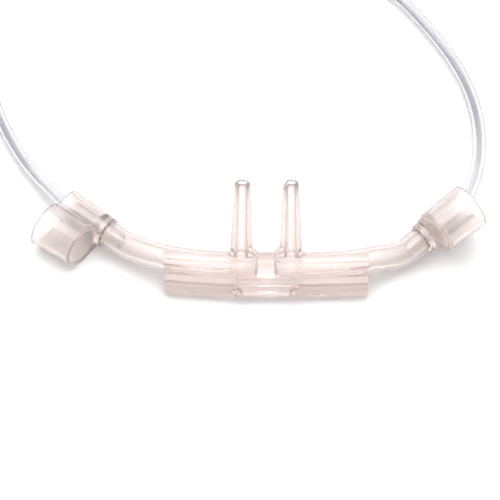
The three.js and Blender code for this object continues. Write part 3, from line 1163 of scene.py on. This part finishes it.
@dataclass
class YPiece:
    """The clear moulding where both ear tubes meet: a flat end with two sockets, and a round inlet."""

    at: Point = (-52.0, 113.5, 3.7)
    length: float = 26.0
    socket_spacing: float = 5.0
    socket_depth: float = 7.0
    width: float = 11.2
    thickness: float = 6.4
    inlet_diameter: float = 7.4
    inlet_bore: float = 5.0
    inlet_depth: float = 9.0
    throat: float = 1.5
    duct_diameter: float = 2.2
    duct_meeting: float = 0.3
    rib_heights: tuple[float, ...] = (1.6, 3.6, 5.6)
    rib_width: float = 0.7
    rib_rise: float = 0.25
    voxel: float = 0.2
    rounds: int = 4

    def sockets(self, side: Side, gap: float) -> tuple[Point, ...]:
        """Finds an ear tube's axis in its socket.

        Args:
            side: which ear tube.
            gap: the clearance at the socket's floor.

        Returns:
            Three points, the last of them the deepest.
        """
        x = self.at[0] + side.value * self.socket_spacing / 2
        depths = (-0.5, self.socket_depth / 2, self.socket_depth - gap)
        return tuple((x, self.at[1] + d, self.at[2]) for d in depths)

    def hull(self, rings: Sequence[tuple[float, float, float]]) -> bmesh.types.BMesh:
        """Makes the convex body round flat-sided rings.

        Args:
            rings: each ring's height, width and thickness.

        Returns:
            The closed shape.
        """
        bm = bmesh.new()
        for z, width, thick in rings:
            shift = (width - thick) / 2
            for x, y in ring(thick / 2, 40):
                bm.verts.new((x + math.copysign(shift, x), y, z))
        bmesh.ops.convex_hull(bm, input=bm.verts)
        loose = [v for v in bm.verts if not v.link_faces]
        bmesh.ops.delete(bm, geom=loose, context="VERTS")
        bmesh.ops.recalc_face_normals(bm, faces=bm.faces)
        return bm

    def build(self, tube_diameter: float, gap: float, finish: bpy.types.Material) -> bpy.types.Object:
        """Makes the Y-piece in place of its CAD node.

        Args:
            tube_diameter: of the ear tubes.
            gap: the clearance between pieces that touch.
            finish: its material.

        Returns:
            The piece.
        """
        throat = self.length - self.inlet_depth - self.throat
        round_end = self.inlet_diameter
        flat_end = (self.width, self.thickness)
        body = self.hull([(0.0, *flat_end), (self.socket_depth, *flat_end), (throat, round_end, round_end)])
        shapes = [body, pin(round_end / 2, throat - 1, self.length)]
        rib_size = (self.width + 2 * self.rib_rise, self.thickness + 2 * self.rib_rise)
        half = self.rib_width / 2
        for z in self.rib_heights:
            shapes.append(self.hull([(z - half, *rib_size), (z + half, *rib_size)]))
        skin = moulded(shapes, "y_junction_moulding", self.voxel, self.rounds)
        cutters = [pin(self.inlet_bore / 2, self.length - self.inlet_depth, self.length + 1)]
        for side in Side:
            x = side.value * self.socket_spacing / 2
            socket = pin(tube_diameter / 2 + gap, -1.0, self.socket_depth)
            cutters.append(placed(socket, Matrix.Translation((x, 0, 0))))
            low = Vector((x, 0, self.socket_depth - 1))
            high = Vector((x * self.duct_meeting, 0, self.length - self.inlet_depth + 1))
            cutters.append(loft([ring(self.duct_diameter / 2, 24)], frames_along([low, high])))
        bored(skin, cutters)
        skin.data.transform(Matrix.Translation(self.at) @ Matrix.Rotation(math.radians(-90), 4, "X"))
        finished(skin, finish)
        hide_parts("y_piece")
        return skin


LEFT_ROUTE: tuple[Point, ...] = (
    (-53.0, 26.3, 5.3), (-56.0, 30.2, 4.6), (-59.5, 35.3, 3.2), (-62.4, 39.9, 2.4), (-65.2, 45.0, 1.9),
    (-67.6, 50.0, 1.75), (-69.8, 55.5, 1.75), (-71.7, 61.5, 1.75), (-73.2, 68.0, 1.75), (-74.0, 75.0, 1.75),
)
LEFT_TAIL: tuple[Point, ...] = (
    (-76.6, 84.0, 4.6), (-75.8, 91.0, 4.3), (-73.2, 98.0, 3.0), (-68.0, 103.6, 1.9), (-61.0, 105.4, 1.75),
    (-56.4, 107.8, 2.3),
)
RIGHT_ROUTE: tuple[Point, ...] = (
    (51.8, 24.8, 7.7), (53.6, 29.9, 7.1), (54.9, 35.6, 5.9), (55.7, 41.6, 4.4), (55.9, 48.1, 3.1),
    (55.5, 54.7, 2.1), (54.2, 61.6, 1.75), (52.0, 68.2, 1.75), (49.0, 74.7, 1.75), (45.2, 81.1, 1.75),
    (41.0, 87.2, 1.75), (37.0, 92.4, 1.75), (32.6, 96.8, 1.75), (26.6, 99.4, 1.75), (19.4, 100.2, 1.75),
    (11.5, 100.0, 1.75),
)
RIGHT_TAIL: tuple[Point, ...] = (
    (1.0, 101.7, 4.6), (-8.0, 101.9, 4.5), (-17.0, 102.3, 3.1), (-26.0, 103.0, 1.9), (-35.0, 103.4, 1.8),
    (-43.0, 104.9, 1.8), (-48.0, 108.0, 2.3),
)


def main() -> None:
    """Builds the studio and then the cannula, piece by piece."""
    logging.basicConfig(level=logging.INFO, format="%(name)s %(message)s", stream=sys.stdout)
    Studio().build()
    pink = SOFT_PINK.material()
    tubing = CLEAR_TUBING.material()
    moulding = CLEAR_MOULDING.material()
    strap = TIE_STRAP.material()
    left = Connector(
        Side.LEFT, at=(-42.6, 17.1, 5.7), along=(-0.775, 0.634, -0.014), grip=(-0.63, -0.773, -0.07)
    )
    right = Connector(
        Side.RIGHT, at=(41.9, 15.2, 6.0), along=(0.765, 0.625, 0.157), grip=(0.13, -0.427, 0.895)
    )
    junction = YPiece()
    left_coil = Coil(centre=(-95.5, 80.0), radius=19.2, start=0.0, way=1)
    right_coil = Coil(centre=(4.0, 119.0), radius=17.3, start=-90.0, way=-1)
    left_tube = EarTube(left, LEFT_ROUTE, left_coil, LEFT_TAIL, ())
    right_tube = EarTube(right, RIGHT_ROUTE, right_coil, RIGHT_TAIL, ())
    far = junction.build(left_tube.diameter, left_tube.gap, moulding)
    for tube in (left_tube, right_tube):
        tube.socket = junction.sockets(tube.connector.side, tube.gap)
        tube.build(tubing, strap, far)
    facepiece = Facepiece(left, right)
    facepiece.build(pink)
    for connector in (left, right):
        connector.build(facepiece.arm_bore, left_tube.diameter, left_tube.gap, pink)


if __name__ == "__main__":
    main()
